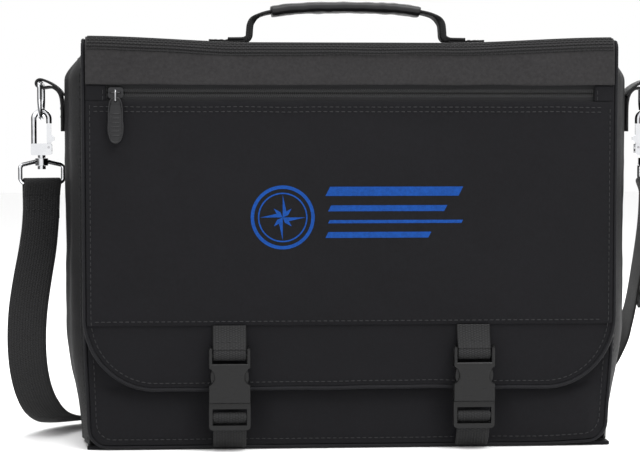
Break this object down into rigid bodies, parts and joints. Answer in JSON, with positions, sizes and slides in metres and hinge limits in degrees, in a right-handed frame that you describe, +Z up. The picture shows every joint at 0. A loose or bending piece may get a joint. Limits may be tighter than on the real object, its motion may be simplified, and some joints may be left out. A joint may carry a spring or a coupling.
{
  "type": "flight bag",
  "caption": "Soft black flap-over flight bag with zipped flap pocket, side-release buckles, top handle and clip-on shoulder strap.",
  "frame": {"origin": "middle of the base where the bag stands on the floor", "axes": "+Z up; -Y towards the front, where the flap and buckles are; +X to the right seen from the front"},
  "size_m": [0.508, 0.1933, 0.341],
  "materials": {
    "cloth": "coated plain-weave polyester",
    "lining": "thin woven lining",
    "board": "plain sheet",
    "webbing": "ribbed polypropylene webbing",
    "piping": "cloth-covered cord",
    "grip": "satin moulded sleeve",
    "zip_tape": "fine herringbone tape",
    "zip_teeth": "nylon coil",
    "slider_metal": "black enamel",
    "pull_rubber": "moulded, matt",
    "buckle_plastic": "satin acetal",
    "hook_metal": "bright plated",
    "steel": "plain"
  },
  "bodies": {
    "bag": {"base_panel": "cloth", "base_board": "board", "back_panel": "cloth", "back_pocket": "cloth", "divider": "lining", "front_wall": "lining", "front_pocket_panel": "cloth", "organiser_panel": "lining", "pen_loops": "webbing", "left_gusset": "cloth", "right_gusset": "cloth", "front_piping": "piping", "back_piping": "piping", "left_ring_tab": "webbing", "right_ring_tab": "webbing", "left_lower_webbing": "webbing", "right_lower_webbing": "webbing", "left_strap_loop": "hook_metal", "right_strap_loop": "hook_metal", "shoulder_strap": "webbing", "strap_adjuster": "buckle_plastic"},
    "flap_top": {"flap_top_panel": "cloth", "top_band": "webbing", "top_piping": "piping", "left_handle_patch": "webbing", "right_handle_patch": "webbing"},
    "handle": {"handle_webbing": "webbing", "handle_grip": "grip"},
    "flap_front": {"flap_panel": "cloth", "flap_lower_panel": "cloth", "flap_hem_panel": "cloth", "flap_lining": "lining", "flap_stiffener": "board", "flap_piping": "piping", "upper_zip_tape": "zip_tape", "lower_zip_tape": "zip_tape", "zip_coils": "zip_teeth", "zip_end_panels": "cloth", "left_upper_webbing": "webbing", "right_upper_webbing": "webbing"},
    "slider": {"zip_slider": "slider_metal"},
    "link": {"pull_link": "slider_metal"},
    "pull": {"zip_pull": "pull_rubber"},
    "left_socket": {"left_buckle_socket": "buckle_plastic"},
    "left_plug": {"left_buckle_plug": "buckle_plastic"},
    "left_ring": {"left_d_ring": "hook_metal"},
    "left_hook": {"left_snap_hook": "hook_metal", "left_gate_pin": "steel", "left_gate_spring": "steel"},
    "left_gate": {"left_hook_gate": "hook_metal"},
    "right_socket": {"right_buckle_socket": "buckle_plastic"},
    "right_plug": {"right_buckle_plug": "buckle_plastic"},
    "right_ring": {"right_d_ring": "hook_metal"},
    "right_hook": {"right_snap_hook": "hook_metal", "right_gate_pin": "steel", "right_gate_spring": "steel"},
    "right_gate": {"right_hook_gate": "hook_metal"}
  },
  "joints": [
    {"name": "flap_lift", "type": "hinge", "parent": "bag", "child": "flap_top", "pos_m": [0, 0.0565, 0.303], "axis": [-1, 0, 0], "range_deg": [0, 180]},
    {"name": "flap_fold", "type": "hinge", "parent": "flap_top", "child": "flap_front", "pos_m": [0, -0.053, 0.301], "axis": [-1, 0, 0], "range_deg": [0, 90]},
    {"name": "handle_tilt", "type": "hinge", "parent": "flap_top", "child": "handle", "pos_m": [0, 0.005, 0.314], "axis": [1, 0, 0], "range_deg": [-50, 50], "stiffness_Nm_per_rad": 0.05},
    {"name": "zip_travel", "type": "slide", "parent": "flap_front", "child": "slider", "axis": [1, 0, 0], "range_m": [0, 0.352]},
    {"name": "link_lift", "type": "hinge", "parent": "slider", "child": "link", "pos_m": [-0.176, -0.0595, 0.269], "axis": [-1, 0, 0], "range_deg": [0, 90]},
    {"name": "pull_swing", "type": "hinge", "parent": "link", "child": "pull", "pos_m": [-0.176, -0.0595, 0.263], "axis": [0, -1, 0], "range_deg": [-60, 60]},
    {"name": "left_release", "type": "slide", "parent": "flap_front", "child": "left_socket", "axis": [0, 0, 1], "range_m": [0, 0.013], "deforming": ["left_upper_webbing"]},
    {"name": "left_plug_drop", "type": "slide", "parent": "bag", "child": "left_plug", "axis": [0, 0, -1], "range_m": [0, 0.01], "deforming": ["left_lower_webbing"]},
    {"name": "left_ring_swing", "type": "hinge", "parent": "bag", "child": "left_ring", "pos_m": [-0.236, 0.003, 0.277], "axis": [0, 1, 0], "range_deg": [-3, 3]},
    {"name": "left_hook_swivel", "type": "hinge", "parent": "bag", "child": "left_hook", "pos_m": [-0.236, 0.003, 0.217], "axis": [0, 0, 1], "range_deg": [-20, 20]},
    {"name": "left_gate_open", "type": "hinge", "parent": "left_hook", "child": "left_gate", "pos_m": [-0.2302, 0.003, 0.228], "axis": [0, -1, 0], "range_deg": [0, 22], "stiffness_Nm_per_rad": 0.01, "springref_deg": -17.19},
    {"name": "right_release", "type": "slide", "parent": "flap_front", "child": "right_socket", "axis": [0, 0, 1], "range_m": [0, 0.013], "deforming": ["right_upper_webbing"]},
    {"name": "right_plug_drop", "type": "slide", "parent": "bag", "child": "right_plug", "axis": [0, 0, -1], "range_m": [0, 0.01], "deforming": ["right_lower_webbing"]},
    {"name": "right_ring_swing", "type": "hinge", "parent": "bag", "child": "right_ring", "pos_m": [0.236, 0.003, 0.277], "axis": [0, 1, 0], "range_deg": [-3, 3]},
    {"name": "right_hook_swivel", "type": "hinge", "parent": "bag", "child": "right_hook", "pos_m": [0.236, 0.003, 0.217], "axis": [0, 0, 1], "range_deg": [-20, 20]},
    {"name": "right_gate_open", "type": "hinge", "parent": "right_hook", "child": "right_gate", "pos_m": [0.2302, 0.003, 0.228], "axis": [0, 1, 0], "range_deg": [0, 22], "stiffness_Nm_per_rad": 0.01, "springref_deg": -17.19}
  ],
  "couplings": [
    {"joint": "flap_fold", "follows": "flap_lift", "ratio": 0.5},
    {"joint": "left_plug_drop", "follows": "left_release", "ratio": 0.769},
    {"joint": "right_plug_drop", "follows": "right_release", "ratio": 0.769}
  ]
}
